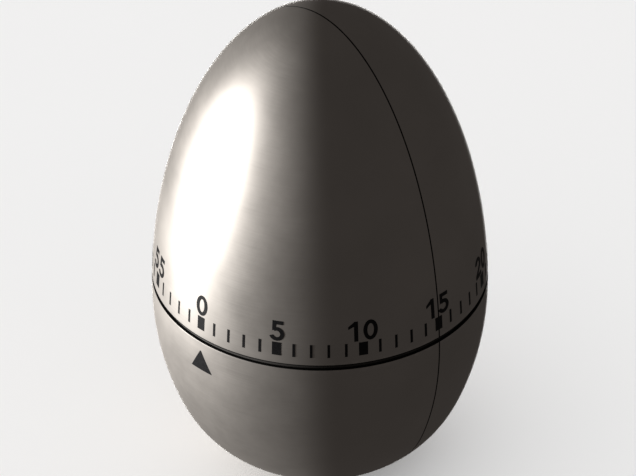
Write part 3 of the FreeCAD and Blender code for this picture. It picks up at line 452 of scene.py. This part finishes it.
def scale_ink():
    """Black ink of the scale: slightly glossy, with a fine grain and a few thin places."""
    surface = Surface("scale_black_ink")
    grain = surface.noise(5200, 4)
    thin = surface.spread(surface.noise(1500, 5, rough=0.7), 0.0, 1.0, 0.62, 0.78)
    ink = surface.blend(surface.spread(grain, 0, 1), (0.004, 0.004, 0.005), (0.010, 0.010, 0.011))
    surface.colour(surface.blend(thin, ink, (0.030, 0.029, 0.028)))
    surface.roughness(surface.spread(grain, 0.45, 0.6))
    surface.set(Specular_IOR_Level=0.22)
    surface.relief((grain, 5e-6))
    return surface.material


def moulded_plastic(name, dark, light, rough):
    """Moulded plastic with a fine spark-eroded grain."""
    surface = Surface(name)
    surface.colour(surface.blend(surface.spread(surface.noise(300, 4), 0, 1), dark, light))
    grain = surface.noise(7000, 3)
    surface.roughness(surface.spread(grain, rough - 0.07, rough + 0.07))
    surface.relief((grain, 8e-6), (surface.noise(350, 2), 10e-6))
    return surface.material


def foot_rubber():
    """Cellular rubber: dull, open-pored and a little dusty."""
    surface = Surface("foot_foam_rubber")
    cells = surface.nodes.new("ShaderNodeTexVoronoi")
    cells.inputs["Scale"].default_value = 2600
    surface.links.new(surface.place, cells.inputs["Vector"])
    pores = surface.spread(cells.outputs["Distance"], 0.0, 1.0, 0.1, 0.5)
    dust = surface.spread(surface.noise(180, 5), 0.0, 0.5, 0.5, 0.75)
    rubber = surface.blend(pores, (0.012, 0.012, 0.012), (0.035, 0.034, 0.033))
    surface.colour(surface.blend(dust, rubber, (0.10, 0.095, 0.09)))
    surface.roughness(surface.spread(pores, 0.95, 0.8, 0, 1))
    surface.relief((pores, 40e-6))
    return surface.material


def worked_metal(name, dark, light, rough, rings=0.0, grain=900):
    """Stamped or turned metal: rolled grain or turning rings, a film of old oil, and small stains."""
    surface = Surface(name)
    tone = surface.spread(surface.noise(420, 5), 0, 1)
    clean = surface.blend(tone, dark, light)
    spots = surface.spread(surface.noise(1300, 6, rough=0.7), 0.0, STAIN_SHARE, 0.6, 0.8)
    surface.colour(surface.blend(spots, clean, OIL_STAIN))
    if rings:
        marks = surface.noise(1.0, 2.0, surface.round_the_axis(1.5, rings))
    else:
        marks = surface.noise(1.0, 3.0, surface.stretched(grain, grain * 14, grain * 4))
    film = surface.spread(surface.noise(260, 3), -0.06, 0.08)
    worn = surface.spread(marks, -0.05, 0.05)
    surface.roughness(surface.math("ADD", surface.math("ADD", film, rough), worn))
    surface.set(Metallic=1.0)
    surface.relief((marks, 3e-6), (surface.noise(1800, 3), 2e-6))
    return surface.material


def slot_materials():
    """One finished material for each material slot of the record that shows a CAD node."""
    return {
        "scale_black": scale_ink(),
        "seam_plastic": moulded_plastic(
            "seam_ring_plastic", (0.050, 0.047, 0.044), (0.068, 0.064, 0.060), 0.5),
        "inner_plastic": moulded_plastic(
            "inner_black_plastic", (0.018, 0.018, 0.020), (0.035, 0.035, 0.038), 0.42),
        "foot_rubber": foot_rubber(),
        "brass": worked_metal(
            "stamped_brass", (0.66, 0.46, 0.17), (0.80, 0.60, 0.27), 0.28),
        "steel": worked_metal(
            "turned_steel", (0.42, 0.42, 0.43), (0.58, 0.58, 0.59), 0.26, rings=16000),
        "spring_steel": worked_metal(
            "blued_spring_steel", (0.07, 0.09, 0.16), (0.16, 0.18, 0.26), 0.24),
        "plate_steel": worked_metal(
            "zinc_plate", (0.52, 0.52, 0.50), (0.68, 0.67, 0.64), 0.36, grain=500),
        "bell_steel": worked_metal(
            "nickelled_bell", (0.66, 0.65, 0.62), (0.80, 0.79, 0.76), 0.12, rings=9000),
    }


def dress_nodes(materials):
    """Gives every CAD node that stays visible the finished material of its slot."""
    for part in frame["record"]["subparts"]:
        material = materials.get(part["material_slot"])
        if material:
            node = frame["nodes"][part["node"]]
            for slot in node.material_slots:
                slot.material = material


# ---------------------------------------------------------------- stage, light and camera

# The view is from 45 degrees to the right of the pointer, and as far above the table as an isometric
# drawing's.
VIEW_AZIMUTH = math.radians(-45)
VIEW_ELEVATION = math.atan(1 / math.sqrt(2))
FRAME_WIDTH = 105.9 * MM
LENS = 1200.0
SENSOR = 36.0
FARTHEST = 50.0
AIM_RIGHT = -0.33 * MM
AIM_UP = 5.44 * MM

# Each light's strength, and its breadth in degrees.
KEY_LIGHT = (6.1, 14)
BACK_LIGHT = (1.2, 20)
SKY_LIGHT = (1.95, 120)
OVERHEAD_LIGHT = (1.0, 130)
LAMP_COLOUR = (1.0, 0.985, 0.965)
KEY_RISE = -0.04
BACK_DROP = 0.50

ROOM_COLOUR = (1.0, 0.91, 0.86, 1.0)
ROOM_STRENGTH = 0.064
BACKDROP_COLOUR = (0.87, 0.87, 0.87, 1.0)
FLOOR_HALF = 6.0

TOWARDS_CAMERA = Vector((
    math.cos(VIEW_ELEVATION) * math.cos(VIEW_AZIMUTH),
    math.cos(VIEW_ELEVATION) * math.sin(VIEW_AZIMUTH),
    math.sin(VIEW_ELEVATION),
))
RIGHT = Vector((-math.sin(VIEW_AZIMUTH), math.cos(VIEW_AZIMUTH), 0.0))
UP = TOWARDS_CAMERA.cross(RIGHT)


def make_camera():
    """A very long lens, so that the view is almost without perspective."""
    data = bpy.data.cameras.new("camera")
    data.lens = LENS
    data.sensor_width = SENSOR
    data.clip_end = FARTHEST
    camera = bpy.data.objects.new("camera", data)
    aim = Vector((0, 0, SEAM)) + RIGHT * AIM_RIGHT + UP * AIM_UP
    camera.location = aim + TOWARDS_CAMERA * (FRAME_WIDTH * LENS / SENSOR)
    camera.rotation_euler = TOWARDS_CAMERA.to_track_quat("Z", "Y").to_euler()
    bpy.context.scene.collection.objects.link(camera)
    bpy.context.scene.camera = camera


def make_floor():
    """A wide pale floor."""
    surface = Surface("pale_floor")
    surface.colour(surface.blend(surface.noise(9, 3), (0.86, 0.86, 0.86), (0.88, 0.88, 0.88)))
    surface.set(Roughness=0.9, Specular_IOR_Level=0.1)
    corners = [(x * FLOOR_HALF, y * FLOOR_HALF, 0) for x, y in ((-1, -1), (1, -1), (1, 1), (-1, 1))]
    data = bpy.data.meshes.new("floor")
    data.from_pydata(corners, [], [(0, 1, 2, 3)])
    data.materials.append(surface.material)
    floor = bpy.data.objects.new("floor", data)
    bpy.context.scene.collection.objects.link(floor)
    return floor


def make_light(name, energy, angle, towards):
    """A broad light from a direction; the angle is its breadth in degrees."""
    data = bpy.data.lights.new(name, "SUN")
    data.energy = energy
    data.angle = math.radians(angle)
    light = bpy.data.objects.new(name, data)
    light.rotation_euler = towards.to_track_quat("Z", "Y").to_euler()
    bpy.context.scene.collection.objects.link(light)
    return light


def floor_group(name, floor, state):
    """A light-linking collection that either holds only the floor or leaves only the floor out."""
    group = bpy.data.collections.new(name)
    group.objects.link(floor)
    group.collection_objects[0].light_linking.link_state = state
    return group


def make_lights(floor):
    """A broad light from the left and a weak one from behind light the object; two more, the floor."""
    without_floor = floor_group("without_floor", floor, "EXCLUDE")
    left = -RIGHT + Vector((0, 0, KEY_RISE))
    key = make_light("key", *KEY_LIGHT, left)
    behind = -Vector((TOWARDS_CAMERA.x, TOWARDS_CAMERA.y, BACK_DROP))
    back = make_light("back", *BACK_LIGHT, behind)
    for light in (key, back):
        light.data.color = LAMP_COLOUR
        light.light_linking.blocker_collection = without_floor
        light.light_linking.receiver_collection = without_floor
    only_floor = floor_group("only_floor", floor, "INCLUDE")
    sky = make_light("sky", *SKY_LIGHT, Vector((0, 0, 1)))
    sky.light_linking.blocker_collection = only_floor
    overhead = make_light("overhead", *OVERHEAD_LIGHT, Vector((0, 0, 1)))
    for light in (sky, overhead):
        light.light_linking.receiver_collection = only_floor


def make_world():
    """A room that is pale to look at, and gives the object only a dim, even light."""
    world = bpy.data.worlds.new("studio")
    world.use_nodes = True
    nodes = world.node_tree.nodes
    links = world.node_tree.links
    dim = nodes["Background"]
    dim.inputs["Color"].default_value = ROOM_COLOUR
    dim.inputs["Strength"].default_value = ROOM_STRENGTH
    pale = nodes.new("ShaderNodeBackground")
    pale.inputs["Color"].default_value = BACKDROP_COLOUR
    seen = nodes.new("ShaderNodeLightPath")
    either = nodes.new("ShaderNodeMixShader")
    links.new(seen.outputs["Is Camera Ray"], either.inputs["Fac"])
    links.new(dim.outputs[0], either.inputs[1])
    links.new(pale.outputs[0], either.inputs[2])
    links.new(either.outputs[0], nodes["World Output"].inputs["Surface"])
    bpy.context.scene.world = world


def make_stage():
    """The floor, the lights, the room and the camera."""
    floor = make_floor()
    floor.visible_diffuse = False
    floor.visible_glossy = False
    make_lights(floor)
    make_world()
    make_camera()
    bpy.context.scene.view_settings.view_transform = "Standard"


# ---------------------------------------------------------------- everything

def build():
    """Dresses the timer and sets the stage."""
    metal = shell_metal()
    # line is the near-black painted shade of the seam rims and the parting groove.
    line = seam_shade_paint()
    make_upper_shell(metal, line)
    make_lower_shell(metal, line)
    materials = slot_materials()
    dress_nodes(materials)
    make_click_spring(materials["spring_steel"])
    make_stage()


build()
